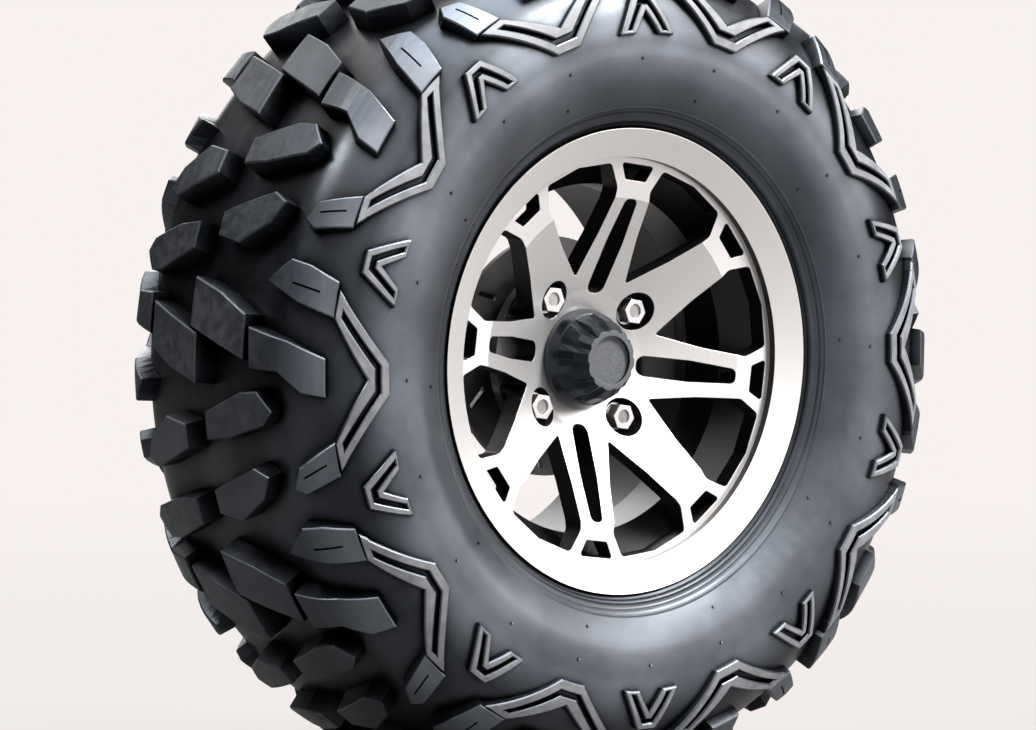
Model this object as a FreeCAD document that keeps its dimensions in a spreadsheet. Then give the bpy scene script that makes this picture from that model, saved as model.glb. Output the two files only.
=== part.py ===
import FreeCAD, Part
import Sketcher
import math
import os

# Rear wheel end of a small four-wheeled all-terrain vehicle: a cast alloy wheel with its lugged tyre,
# hub and brake disc, turning in the bearing of a knuckle that carries the brake caliper.
# Millimetres, +Z up. The axle lies along Y and the wheel's outer face looks along -Y.
# The origin is on the axle, in the knuckle's inboard face that a trailing arm is bolted to.

document = FreeCAD.newDocument("wheel_end")

# Driving dimensions
DIMENSIONS = [
    # Knuckle's inboard face from the wheel's middle plane, and the wheel's turn at rest
    ("wheel_offset", 42),
    ("wheel_turn", -7.98),
    ("seat_gap", 0.1),
    # Rim
    ("lip_radius", 168.4),
    ("lip_half_width", 101),
    ("lip_inner_radius", 147.5),
    ("lip_inner_depth", 8.3),
    ("lip_thickness", 3.4),
    ("bead_seat_radius", 152.4),
    ("bead_seat_half_width", 92),
    ("bead_seat_end", 72),
    ("well_radius", 132),
    ("well_start", -52),
    ("well_end", -18),
    ("well_slope", 26),
    ("barrel_wall", 4.5),
    # Wheel face and spokes
    ("spoke_count", 8),
    ("mount_face", 30),
    ("face_inner_depth", 45),
    ("face_hub_radius", 50),
    ("face_hub_depth", 52),
    ("face_neck_radius", 118),
    ("face_neck_depth", 84),
    ("face_ledge_depth", 86),
    ("web_back_radius", 72),
    ("web_back_depth", 44),
    ("web_neck_depth", 66),
    ("hub_pad_radius", 66),
    ("rim_bore_radius", 32),
    ("spoke_root_along", 59),
    ("spoke_root_half", 23.5),
    ("spoke_mid_along", 91),
    ("spoke_mid_half", 18.3),
    ("spoke_neck_along", 124.5),
    ("spoke_neck_half", 15.5),
    ("fork_along", 141),
    ("fork_half", 25),
    ("window_outer_radius", 143.5),
    ("slot_start", 48),
    ("slot_start_half", 7.5),
    ("slot_mid", 85),
    ("slot_mid_half", 8),
    ("slot_end", 117.7),
    ("slot_end_half", 5.5),
    ("fork_window_inner", 131),
    ("fork_window_inner_half", 9.7),
    ("fork_window_outer", 143),
    ("fork_window_outer_half", 15.5),
    # Wheel fastening
    ("stud_count", 4),
    ("stud_circle_radius", 55),
    ("stud_radius", 5),
    ("stud_hole_radius", 6),
    ("nut_pocket_radius", 14),
    ("nut_pocket_depth", 41),
    ("nut_face", 55.3),
    ("nut_flats", 17),
    ("nut_flange_radius", 10.2),
    ("nut_flange_thickness", 3),
    ("nut_bore_clearance", 0.3),
    ("stud_depth", 1.5),
    # Centre cap
    ("cap_base_radius", 36),
    ("cap_front", 80),
    ("cap_front_radius", 22),
    ("cap_wall", 2.5),
    ("cap_flute_count", 12),
    ("cap_shoulder_radius", 33.5),
    ("cap_shoulder", 58),
    ("cap_flute_radius", 28.5),
    ("cap_flute", 71),
    ("cap_flute_depth", 3.8),
    ("cap_scallop_depth", 1.4),
    ("cap_dish_depth", 2.6),
    ("cap_skirt", 7),
    # Tyre
    ("tyre_wall", 9),
    ("tyre_steps", 40),
    ("lug_pitches", 10),
    # Hub and brake disc
    ("hub_flange_radius", 67),
    ("hub_flange_thickness", 8),
    ("hub_boss_radius", 44),
    ("hub_journal_radius", 20),
    ("hub_journal_end", 41),
    ("shaft_bore_radius", 13),
    ("disc_radius", 88),
    ("disc_face", -10),
    ("disc_thickness", 4.5),
    ("disc_inner_radius", 27),
    ("disc_slot_count", 12),
    # Knuckle and bearing
    ("bearing_clearance", 0.03),
    ("bearing_radius", 37),
    ("bearing_start", 5),
    ("bearing_width", 33),
    ("bearing_lip", 6),
    ("housing_wall", 10),
    ("housing_start", 2),
    ("arm_bolt_circle_radius", 61),
    ("arm_bolt_count", 4),
    ("arm_bolt_hole", 5.25),
    ("arm_boss_radius", 12),
    ("arm_boss_length", 18),
    # Caliper
    ("caliper_rim_clearance", 15.5),
    ("bridge_clearance", 5.5),
    ("ear_spacing", 82),
    ("ear_inset", 18),
    ("caliper_gap", 1.2),
    ("ear_start", 12),
    ("ear_thickness", 9),
    ("caliper_bolt_radius", 4),
    ("caliper_bolt_flats", 13),
    ("hose_port_radius", 4.5),
    ("hose_port_depth", 12),
    ("caliper_half_length", 31),
    ("caliper_back", 22),
    ("piston_inset", 12),
    ("piston_housing_radius", 19),
    ("piston_housing_end", 36),
    ("finger_thickness", 11),
    ("pad_thickness", 6),
    ("pad_clearance", 0.5),
    ("pad_half_length", 25),
    ("pad_depth", 21),
    # Valve
    ("valve_angle", -82.02),
    ("valve_depth", -42),
    ("valve_radius", 5.5),
    ("valve_reach", 24),
]

sheet = document.addObject("Spreadsheet::Sheet", "dims")
for row, (alias, value) in enumerate(DIMENSIONS, start=1):
    sheet.set("A%d" % row, alias)
    sheet.set("B%d" % row, str(value))
    sheet.setAlias("B%d" % row, alias)
document.recompute()


def number(expression):
    # The value that an expression over the sheet has now
    return float(sheet.evalExpression(str(expression)))


def wheel_placement(turned):
    # Where the wheel's own frame (centre of its middle plane) stands; turned pieces follow the wheel
    turn = FreeCAD.Rotation(FreeCAD.Vector(0, 1, 0), -number("dims.wheel_turn") if turned else 0)
    return FreeCAD.Placement(FreeCAD.Vector(0, -number("dims.wheel_offset"), 0), turn)


subparts = []


def keep(label, thing, turned):
    # Registers a finished sub-part and sets it in the common frame
    thing.Label = label
    thing.Placement = wheel_placement(turned).multiply(thing.Placement)
    subparts.append(thing)
    return thing


def new_body(name):
    return document.addObject("PartDesign::Body", name)


def origin_feature(body, role):
    return next(feature for feature in body.Origin.OriginFeatures if feature.Role == role)


def outline(body, name, plane, corners, offset="0", turn="0"):
    # A closed sketch. Each corner is (x, y) or (x, y, radius) in expressions; a radius rounds the corner.
    sketch = body.newObject("Sketcher::SketchObject", name)
    sketch.AttachmentSupport = [(origin_feature(body, plane), "")]
    sketch.MapMode = "FlatFace"
    sketch.AttachmentOffset = FreeCAD.Placement(
        FreeCAD.Vector(0, 0, number(offset)), FreeCAD.Rotation(FreeCAD.Vector(0, 0, 1), number(turn)))
    points = [FreeCAD.Vector(number(corner[0]), number(corner[1]), 0) for corner in corners]
    count = len(points)
    starts, ends, arcs = [], [], {}
    for index, corner in enumerate(corners):
        here = points[index]
        if len(corner) == 2:
            starts.append(here)
            ends.append(here)
            continue
        before = (points[index - 1] - here).normalize()
        after = (points[(index + 1) % count] - here).normalize()
        half_angle = before.getAngle(after) / 2
        radius = number(corner[2])
        reach = radius / math.tan(half_angle)
        centre = here + (before + after).normalize() * (radius / math.sin(half_angle))
        starts.append(here + after * reach)
        ends.append(here + before * reach)
        arcs[index] = (centre, radius)
    lines = []
    for index in range(count):
        segment = Part.LineSegment(starts[index], ends[(index + 1) % count])
        lines.append(sketch.addGeometry(segment, False))
    for index, corner in enumerate(corners):
        before_line = lines[index - 1]
        after_line = lines[index]
        if index not in arcs:
            sketch.addConstraint(Sketcher.Constraint("Coincident", before_line, 2, after_line, 1))
            pin_point(sketch, after_line, 1, corner)
            continue
        centre, radius = arcs[index]
        first, last = ends[index] - centre, starts[index] - centre
        ccw = first.cross(last).z > 0
        if not ccw:
            first, last = last, first
        circle = Part.Circle(centre, FreeCAD.Vector(0, 0, 1), radius)
        arc = Part.ArcOfCircle(circle, math.atan2(first.y, first.x), math.atan2(last.y, last.x))
        arc_id = sketch.addGeometry(arc, False)
        vertex = sketch.addGeometry(Part.Point(points[index]), True)
        sketch.addConstraint(Sketcher.Constraint("PointOnObject", vertex, 1, before_line))
        sketch.addConstraint(Sketcher.Constraint("PointOnObject", vertex, 1, after_line))
        sketch.addConstraint(Sketcher.Constraint("Tangent", before_line, 2, arc_id, 1 if ccw else 2))
        sketch.addConstraint(Sketcher.Constraint("Tangent", after_line, 1, arc_id, 2 if ccw else 1))
        key = sketch.addConstraint(Sketcher.Constraint("Radius", arc_id, radius))
        sketch.setExpression("Constraints[%d]" % key, str(corner[2]))
        pin_point(sketch, vertex, 1, corner)
    return sketch


def pin_point(sketch, geometry, end, corner):
    # Ties a point of a sketch to two expressions
    for kind, expression in (("DistanceX", corner[0]), ("DistanceY", corner[1])):
        value = number(expression)
        key = sketch.addConstraint(Sketcher.Constraint(kind, -1, 1, geometry, end, value))
        sketch.setExpression("Constraints[%d]" % key, str(expression))


def round_sketch(body, name, plane, circles, offset="0"):
    # A sketch of circles, each (x, y, radius) in expressions
    sketch = body.newObject("Sketcher::SketchObject", name)
    sketch.AttachmentSupport = [(origin_feature(body, plane), "")]
    sketch.MapMode = "FlatFace"
    sketch.AttachmentOffset = FreeCAD.Placement(FreeCAD.Vector(0, 0, number(offset)), FreeCAD.Rotation())
    for x, y, radius in circles:
        centre = FreeCAD.Vector(number(x), number(y), 0)
        circle = sketch.addGeometry(Part.Circle(centre, FreeCAD.Vector(0, 0, 1), number(radius)), False)
        key = sketch.addConstraint(Sketcher.Constraint("Radius", circle, number(radius)))
        sketch.setExpression("Constraints[%d]" % key, str(radius))
        pin_point(sketch, circle, 3, (x, y))
    return sketch


def turn_solid(body, name, corners, cut=False):
    # Turns a profile of (radius, y) corners about the axle, added to the body or cut from it
    sketch = outline(body, name + "_profile", "XY_Plane", corners)
    feature = body.newObject("PartDesign::Groove" if cut else "PartDesign::Revolution", name)
    feature.Profile = sketch
    feature.ReferenceAxis = (sketch, ["V_Axis"])
    feature.Angle = 360
    return feature


def cut_along_axle(body, name, sketch, length):
    # Cuts a sketch of the XZ plane towards +Y, from the plane where it is drawn
    feature = body.newObject("PartDesign::Pocket", name)
    feature.Profile = sketch
    feature.setExpression("Length", length)
    return feature


def pattern_round_axle(body, name, feature, occurrences):
    pattern = body.newObject("PartDesign::PolarPattern", name)
    pattern.Originals = [feature]
    pattern.Axis = (origin_feature(body, "Y_Axis"), [""])
    pattern.Angle = 360
    pattern.setExpression("Occurrences", occurrences)
    body.Tip = pattern
    return pattern


def spoke_point(along, across):
    # A point on a spoke's edge, seen from the middle line of the window beside it
    half_pitch = "(180 / dims.spoke_count)"
    return ("%s * cos(%s) + %s * sin(%s)" % (along, half_pitch, across, half_pitch),
            "%s * sin(%s) - %s * cos(%s)" % (along, half_pitch, across, half_pitch))


def mirrored(point):
    return (point[0], "-(%s)" % point[1])


def make_rim():
    body = new_body("AlloyRim")
    turn_solid(body, "face_disc", [
        ("dims.rim_bore_radius", "-dims.face_inner_depth"),
        ("dims.face_hub_radius", "-dims.face_hub_depth"),
        ("dims.face_neck_radius", "-dims.face_neck_depth"),
        ("dims.bead_seat_radius - dims.barrel_wall / 2", "-dims.face_ledge_depth - 1"),
        ("dims.bead_seat_radius - dims.barrel_wall / 2", "-dims.bead_seat_end - 2"),
        ("dims.face_neck_radius", "-dims.web_neck_depth"),
        ("dims.web_back_radius", "-dims.web_back_depth"),
        ("dims.hub_pad_radius", "-dims.mount_face"),
        ("dims.rim_bore_radius", "-dims.mount_face"),
    ])
    start = "dims.lip_half_width + 5"
    root = spoke_point("dims.spoke_root_along", "dims.spoke_root_half")
    middle = spoke_point("dims.spoke_mid_along", "dims.spoke_mid_half")
    neck = spoke_point("dims.spoke_neck_along", "dims.spoke_neck_half")
    fork = spoke_point("dims.fork_along", "dims.fork_half")
    window = outline(body, "window_outline", "XZ_Plane", [
        root,
        middle,
        neck + ("8",),
        fork + ("4",),
        ("dims.window_outer_radius + 1", "0"),
        mirrored(fork) + ("4",),
        mirrored(neck) + ("8",),
        mirrored(middle),
        mirrored(root),
    ], offset=start, turn="180 / dims.spoke_count")
    window_cut = cut_along_axle(body, "window", window, start)
    pattern_round_axle(body, "windows", window_cut, "dims.spoke_count")
    slot = outline(body, "slot_outline", "XZ_Plane", [
        ("dims.slot_start", "dims.slot_start_half", "dims.slot_start_half - 1"),
        ("dims.slot_start", "-dims.slot_start_half", "dims.slot_start_half - 1"),
        ("dims.slot_mid", "-dims.slot_mid_half"),
        ("dims.slot_end", "-dims.slot_end_half", "dims.slot_end_half - 1"),
        ("dims.slot_end", "dims.slot_end_half", "dims.slot_end_half - 1"),
        ("dims.slot_mid", "dims.slot_mid_half"),
    ], offset=start)
    slot_cut = cut_along_axle(body, "slot", slot, start)
    pattern_round_axle(body, "slots", slot_cut, "dims.spoke_count / 2")
    fork_window = outline(body, "fork_window_outline", "XZ_Plane", [
        ("dims.fork_window_inner", "dims.fork_window_inner_half", "2"),
        ("dims.fork_window_inner", "-dims.fork_window_inner_half", "2"),
        ("dims.fork_window_outer", "-dims.fork_window_outer_half", "2"),
        ("dims.fork_window_outer", "dims.fork_window_outer_half", "2"),
    ], offset=start)
    fork_cut = cut_along_axle(body, "fork_window", fork_window, start)
    pattern_round_axle(body, "fork_windows", fork_cut, "dims.spoke_count")
    stud_x = "dims.stud_circle_radius * cos(45)"
    nut_pocket = round_sketch(body, "nut_pocket_outline", "XZ_Plane",
                              [(stud_x, stud_x, "dims.nut_pocket_radius")], offset=start)
    pocket_cut = cut_along_axle(body, "nut_pocket", nut_pocket, start + " - dims.nut_pocket_depth")
    pattern_round_axle(body, "nut_pockets", pocket_cut, "dims.stud_count")
    stud_hole = round_sketch(body, "stud_hole_outline", "XZ_Plane",
                             [(stud_x, stud_x, "dims.stud_hole_radius")], offset=start)
    hole_cut = cut_along_axle(body, "stud_hole", stud_hole, start)
    pattern_round_axle(body, "stud_holes", hole_cut, "dims.stud_count")
    seat = "dims.bead_seat_radius"
    inner = "dims.bead_seat_radius - dims.barrel_wall - 1.5"
    well = "dims.well_radius"
    well_inner = "dims.well_radius - dims.barrel_wall"
    edge = "dims.lip_half_width"
    thick = "dims.lip_thickness"
    turn_solid(body, "barrel", [
        ("dims.lip_radius", "-" + edge),
        ("dims.lip_radius", "-%s + %s" % (edge, thick)),
        (seat, "-dims.bead_seat_half_width + 2"),
        (seat, "-dims.bead_seat_end"),
        (well, "dims.well_start"),
        (well, "dims.well_end"),
        (seat, "dims.well_end + dims.well_slope"),
        (seat, "dims.bead_seat_half_width - 2"),
        ("dims.lip_radius", "%s - %s" % (edge, thick)),
        ("dims.lip_radius", edge),
        ("dims.lip_inner_radius", "dims.bead_seat_half_width + 0.5"),
        (inner, "dims.well_end + dims.well_slope + 2"),
        (well_inner, "dims.well_end + 2"),
        (well_inner, "dims.well_start - 1"),
        (inner, "-dims.bead_seat_end - 1"),
        ("dims.lip_inner_radius", "-dims.face_ledge_depth"),
        ("dims.lip_inner_radius", "-%s + dims.lip_inner_depth" % edge),
    ])
    valve_hole = round_sketch(body, "valve_hole_outline", "YZ_Plane",
                              [("dims.valve_depth", "0", "dims.valve_radius + dims.seat_gap")])
    valve_turn = FreeCAD.Rotation(FreeCAD.Vector(1, 0, 0), -number("dims.valve_angle"))
    valve_start = FreeCAD.Vector(0, 0, number("dims.well_radius - 3 * dims.barrel_wall"))
    valve_hole.AttachmentOffset = FreeCAD.Placement(valve_turn.multVec(valve_start), valve_turn)
    valve_cut = body.newObject("PartDesign::Pocket", "valve_hole")
    valve_cut.Profile = valve_hole
    valve_cut.Reversed = True
    valve_cut.setExpression("Length", "4 * dims.barrel_wall")
    body.Tip = valve_cut
    return keep("alloy_rim", body, turned=True)


def bar(name, radius, length, y, x="0", z="0"):
    # A round bar along Y that starts at y
    piece = document.addObject("Part::Cylinder", name)
    piece.setExpression("Radius", radius)
    piece.setExpression("Height", length)
    piece.Placement = FreeCAD.Placement(
        FreeCAD.Vector(number(x), number(y), number(z)), FreeCAD.Rotation(FreeCAD.Vector(1, 0, 0), -90))
    return piece


def join(name, pieces):
    result = document.addObject("Part::MultiFuse", name)
    result.Shapes = pieces
    return result


def cut(name, base, tool):
    result = document.addObject("Part::Cut", name)
    result.Base = base
    result.Tool = tool
    return result


# Outline of the lug tops from the rim to the crown: radius, y, the height of a lug there, and whether
# the carcass has a corner there
TREAD_PROFILE = [
    (172, -98, 0, True),
    (185, -109, 0, False),
    (205, -119, 0, True),
    (228, -124, 4, False),
    (250, -122, 4.5, True),
    (270, -115, 6, False),
    (287, -104, 9, True),
    (300, -92, 12, False),
    (308, -78, 14, True),
    (313, -55, 16, False),
    (316.5, -28, 18, False),
    (317.5, 0, 18, True),
]
# The chevron at the wheel's own zero angle stands this many degrees on, and the inner half is turned back
FIRST_CHEVRON = 8.5
INNER_HALF_TURN = -12
# Lugs of one pitch: corners of (degrees from the chevron's middle, distance along the profile)
CHEVRON = [(-2.6, 70), (2.6, 70), (8, 92), (13.3, 113), (15, 146), (11.6, 142), (9, 114),
           (0, 90), (-9, 114), (-12, 165), (-16, 150), (-13.3, 113), (-8, 92)]
CENTRE_BAR = [(-3.2, 118), (2.3, 118), (-1.5, 177), (-6.4, 238), (-12.8, 238), (-6.9, 179)]
FIRST_BLADE = [(4, 157), (1.4, 170), (4.4, 224), (8, 224)]
SECOND_BLADE = [(12.6, 167), (11.4, 180), (14.6, 226), (18, 226)]
LUGS = [CHEVRON, CENTRE_BAR, FIRST_BLADE, SECOND_BLADE]
# How far a lug's foot reaches into the carcass
LUG_ROOT = 3


def tread_rows():
    # Points of the lug tops and of the carcass under them, and the distance of each along the profile
    top = [FreeCAD.Vector(radius, y, 0) for radius, y, height, corner in TREAD_PROFILE]
    base = []
    steps = [0]
    for index, point in enumerate(top):
        after = top[min(index + 1, len(top) - 1)]
        along = after - top[max(index - 1, 0)]
        inward = FreeCAD.Vector(-along.y, along.x, 0).normalize()
        if index == len(top) - 1:
            inward = FreeCAD.Vector(-1, 0, 0)
        base.append(point + inward * TREAD_PROFILE[index][2])
        if index:
            steps.append(steps[-1] + (point - top[index - 1]).Length)
    return top, base, steps


def along_rows(rows, steps, distance):
    index = 1
    while index < len(steps) - 1 and distance > steps[index]:
        index += 1
    share = (distance - steps[index - 1]) / (steps[index] - steps[index - 1])
    return rows[index - 1] + (rows[index] - rows[index - 1]) * share


def round_axle(point, angle):
    # A profile point swung about the axle, from +X towards +Z
    turn = math.radians(angle)
    return FreeCAD.Vector(point.x * math.cos(turn), point.y, point.x * math.sin(turn))


def make_lug(corners):
    # One lug as flat facets: its top follows the tread, its foot ends inside the carcass
    top, base, steps = tread_rows()

    def on_top(angle, distance):
        return round_axle(along_rows(top, steps, distance), angle)

    def on_foot(angle, distance):
        high = along_rows(top, steps, distance)
        low = along_rows(base, steps, distance)
        return round_axle(low + (low - high).normalize() * LUG_ROOT, angle)

    flat = Part.Face(Part.makePolygon([FreeCAD.Vector(a, d, 0) for a, d in corners + corners[:1]]))
    vertices, triangles = flat.tessellate(1)
    facets = []
    for place in (on_top, on_foot):
        for triangle in triangles:
            facets.append([place(vertices[index].x, vertices[index].y) for index in triangle])
    for here, after in zip(corners, corners[1:] + corners[:1]):
        facets.append([on_foot(*here), on_foot(*after), on_top(*after)])
        facets.append([on_foot(*here), on_top(*after), on_top(*here)])
    return facet_solid(facets)


def facet_solid(facets):
    # A solid closed by flat faces, each given by its corners
    shell = Part.Shell([Part.Face(Part.makePolygon(corners + corners[:1])) for corners in facets])
    shell.sewShape()
    solid = Part.Solid(shell)
    return solid if solid.Volume > 0 else solid.reversed()


def facet_ring(section, count):
    # A closed section carried round the axle in flat steps, outside the true circle where it faces the rim
    facets = []
    for index in range(count):
        first, last = 360 * index / count, 360 * (index + 1) / count
        for here, after in zip(section, section[1:] + section[:1]):
            facets.append([round_axle(here, first), round_axle(after, first),
                           round_axle(after, last), round_axle(here, last)])
    return facet_solid(facets)


def make_tyre():
    # Hollow carcass carried round the axle, with every lug fused to it. The inner half is the outer one
    # turned over, as on the real tread.
    top, base, steps = tread_rows()
    wall = number("dims.tyre_wall")
    seat = number("(dims.bead_seat_radius + dims.seat_gap) / cos(180 / dims.tyre_steps)")
    bead_out = -number("dims.bead_seat_half_width - 2 - dims.seat_gap")
    bead_in = -number("dims.bead_seat_end + 2")
    half = [FreeCAD.Vector(seat, bead_in, 0), FreeCAD.Vector(seat, bead_out, 0)]
    half += [point for point, row in zip(base, TREAD_PROFILE) if row[3]]
    lining = [FreeCAD.Vector(base[7].x - wall, base[7].y + wall, 0), FreeCAD.Vector(base[3].x, base[3].y + wall, 0)]

    def other_side(points):
        return [FreeCAD.Vector(point.x, -point.y, 0) for point in reversed(points)]

    section = half + other_side(half[:-1]) + other_side(lining) + lining
    axle = FreeCAD.Vector(0, -1, 0)
    middle = FreeCAD.Vector(0, 0, 0)
    carcass = facet_ring(section, int(number("dims.tyre_steps")))
    pitch = 360 / number("dims.lug_pitches")
    lugs = []
    for corners in LUGS:
        outer = make_lug(corners)
        inner = outer.copy()
        inner.rotate(middle, FreeCAD.Vector(1, 0, 0), 180)
        inner.rotate(middle, axle, INNER_HALF_TURN)
        for step in range(int(number("dims.lug_pitches"))):
            for lug in (outer, inner):
                turned = lug.copy()
                turned.rotate(middle, axle, FIRST_CHEVRON + pitch * step)
                lugs.append(turned)
    tyre = document.addObject("Part::Feature", "Tyre")
    tyre.Shape = carcass.fuse(lugs)
    return keep("tyre", tyre, turned=True)


def cap_ring(ridge, valley, y):
    # Corners of the fluted crown at one height: two on each ridge and one in each valley
    corners = []
    count = int(number("dims.cap_flute_count"))
    for index in range(count):
        for radius, shift in ((ridge, -0.2), (ridge, 0.2), (valley, 0.5)):
            corners.append(round_axle(FreeCAD.Vector(number(radius), number(y), 0), 360 * (index + shift) / count))
    return corners


def make_cap():
    # Hollow push-in cap: a turned skirt and shell, and a crown whose flutes are deepest half way up
    skirt = "dims.rim_bore_radius - dims.seat_gap"
    inside = skirt + " - dims.cap_wall"
    face = "-dims.face_inner_depth - dims.seat_gap"
    face_rise = ("(dims.cap_base_radius - (%s)) * (dims.face_hub_depth - dims.face_inner_depth)"
                 " / (dims.face_hub_radius - dims.rim_bore_radius)" % skirt)
    front_valley = "dims.cap_front_radius - dims.cap_scallop_depth"
    rings = [
        cap_ring("dims.cap_shoulder_radius", "dims.cap_shoulder_radius - 0.5", "-dims.cap_shoulder + 1"),
        cap_ring("dims.cap_flute_radius", "dims.cap_flute_radius - dims.cap_flute_depth", "-dims.cap_flute"),
        cap_ring("dims.cap_front_radius", front_valley, "-dims.cap_front"),
    ]
    facets = [rings[0], rings[-1]]
    for lower, upper in zip(rings, rings[1:]):
        for index in range(len(lower)):
            after = (index + 1) % len(lower)
            facets.append([lower[index], lower[after], upper[after]])
            facets.append([lower[index], upper[after], upper[index]])
    crown = document.addObject("Part::Feature", "CapCrown")
    crown.Shape = facet_solid(facets)
    shell = cone("CapShell", "dims.cap_shoulder_radius", "dims.cap_base_radius",
                 "dims.cap_shoulder - 5.5 + (%s)" % face, "-dims.cap_shoulder", "0", "0")
    base = bar("CapBase", "dims.cap_base_radius", "5.5 - (%s)" % face_rise, face + " - 5.5")
    seat = cone("CapSeat", "dims.cap_base_radius", skirt, face_rise, face + " - (%s)" % face_rise, "0", "0")
    skirt_bar = bar("CapSkirt", skirt, "dims.cap_skirt + 1", face + " - 1")
    hollow = cone("CapHollow", front_valley + " - 2 * dims.cap_wall", inside,
                  "dims.cap_front - dims.face_inner_depth - 9", "-dims.cap_front + 5", "0", "0")
    bore = bar("CapBore", inside, "dims.cap_skirt + 12", "-dims.face_inner_depth - 4")
    dish = bar("CapDish", front_valley + " - 3", "dims.cap_dish_depth + 2", "-dims.cap_front - 2")
    solid = join("CapSolid", [crown, shell, base, seat, skirt_bar])
    keep("centre_cap", cut("CentreCap", solid, join("CapHoles", [hollow, bore, dish])), True)


def hexagon_prism(name, flats, start, length, x, z):
    prism = document.addObject("Part::Prism", name)
    prism.Polygon = 6
    prism.setExpression("Circumradius", "(%s) / sqrt(3)" % flats)
    prism.setExpression("Height", length)
    prism.Placement = FreeCAD.Placement(
        FreeCAD.Vector(number(x), number(start), number(z)), FreeCAD.Rotation(FreeCAD.Vector(1, 0, 0), -90))
    return prism


def cone(name, first, last, length, y, x, z):
    piece = document.addObject("Part::Cone", name)
    piece.setExpression("Radius1", first)
    piece.setExpression("Radius2", last)
    piece.setExpression("Height", length)
    piece.Placement = FreeCAD.Placement(
        FreeCAD.Vector(number(x), number(y), number(z)), FreeCAD.Rotation(FreeCAD.Vector(1, 0, 0), -90))
    return piece


def stud_place(index):
    angle = "(45 + 360 / dims.stud_count * %d)" % index
    return "dims.stud_circle_radius * cos(%s)" % angle, "dims.stud_circle_radius * sin(%s)" % angle


def make_nuts():
    # Flanged hexagon nuts, each seated on the floor of its pocket
    for index in range(int(number("dims.stud_count"))):
        x, z = stud_place(index)
        tag = "_%d" % (index + 1)
        seat = "-dims.nut_pocket_depth - dims.seat_gap"
        hexagon = hexagon_prism("NutHex" + tag, "dims.nut_flats", "-dims.nut_face",
                                "dims.nut_face - dims.nut_pocket_depth - 2", x, z)
        flange = bar("NutFlange" + tag, "dims.nut_flange_radius", "dims.nut_flange_thickness",
                     seat + " - dims.nut_flange_thickness", x, z)
        bore = bar("NutBore" + tag, "dims.stud_radius + dims.nut_bore_clearance",
                   "dims.nut_face", "-dims.nut_face - 1", x, z)
        keep("lug_nut" + tag, cut("LugNut" + tag, join("NutSolid" + tag, [hexagon, flange]), bore), True)


def make_hub():
    # Flanged hub with its pressed-in studs: pilot in the rim's bore, boss for the disc, journal in the bearing
    body = new_body("WheelHub")
    flange_back = "-dims.mount_face + dims.hub_flange_thickness"
    turn_solid(body, "hub_turning", [
        ("dims.shaft_bore_radius", "-dims.mount_face - 5"),
        ("dims.rim_bore_radius - dims.cap_wall - 1", "-dims.mount_face - 5"),
        ("dims.rim_bore_radius - dims.seat_gap", "-dims.mount_face - 2"),
        ("dims.rim_bore_radius - dims.seat_gap", "-dims.mount_face + dims.seat_gap"),
        ("dims.hub_flange_radius", "-dims.mount_face + dims.seat_gap"),
        ("dims.hub_flange_radius", flange_back),
        ("dims.hub_boss_radius", flange_back),
        ("dims.hub_boss_radius", "dims.disc_face - dims.seat_gap"),
        ("dims.disc_inner_radius - dims.seat_gap", "dims.disc_face - dims.seat_gap"),
        ("dims.disc_inner_radius - dims.seat_gap", "dims.disc_face + dims.disc_thickness"),
        ("dims.hub_journal_radius", "dims.bearing_start - 1"),
        ("dims.hub_journal_radius", "dims.hub_journal_end"),
        ("dims.shaft_bore_radius", "dims.hub_journal_end"),
    ])
    stud_x, stud_z = stud_place(0)
    studs = round_sketch(body, "stud_outline", "XZ_Plane", [(stud_x, stud_z, "dims.stud_radius")],
                         offset="dims.nut_face - dims.stud_depth")
    stud = body.newObject("PartDesign::Pad", "wheel_stud")
    stud.Profile = studs
    stud.Reversed = True
    stud.setExpression("Length", "dims.nut_face - dims.stud_depth - dims.mount_face + dims.hub_flange_thickness / 2")
    pattern_round_axle(body, "wheel_studs", stud, "dims.stud_count")
    return keep("wheel_hub", body, turned=True)


def make_disc():
    # Brake disc with an inner row of vents and an outer row of slanted slots
    body = new_body("BrakeDisc")
    turn_solid(body, "disc_turning", [
        ("dims.disc_inner_radius", "dims.disc_face"),
        ("dims.disc_radius", "dims.disc_face"),
        ("dims.disc_radius", "dims.disc_face + dims.disc_thickness"),
        ("dims.disc_inner_radius", "dims.disc_face + dims.disc_thickness"),
    ])
    vent_inner = "dims.hub_boss_radius + 5"
    vent_outer = "dims.hub_boss_radius + 14"
    slot_inner = "dims.disc_radius - 22"
    slot_outer = "dims.disc_radius - 6"
    for name, corners in (
            ("vent", [(vent_inner, "-3.5"), (vent_outer, "-7"), (vent_outer, "7"), (vent_inner, "3.5")]),
            ("slot", [(slot_inner, "-6"), (slot_outer, "1"), (slot_outer, "5"), (slot_inner, "-2")])):
        sketch = outline(body, name + "_outline", "XZ_Plane", corners, offset="-dims.disc_face + 5")
        cut_feature = cut_along_axle(body, name, sketch, "dims.disc_thickness + 10")
        pattern_round_axle(body, name + "s", cut_feature, "dims.disc_slot_count")
    return keep("brake_disc", body, turned=True)


def radial_bar(name, radius, length, start, y, angle):
    # A round bar that starts at a radius and runs towards the axle
    piece = document.addObject("Part::Cylinder", name)
    piece.setExpression("Radius", radius)
    piece.setExpression("Height", length)
    turn = math.radians(number(angle))
    outward = FreeCAD.Vector(math.cos(turn), 0, math.sin(turn))
    place = outward * number(start)
    place.y = number(y)
    piece.Placement = FreeCAD.Placement(place, FreeCAD.Rotation(FreeCAD.Vector(0, 0, 1), outward * -1))
    return piece


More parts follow.
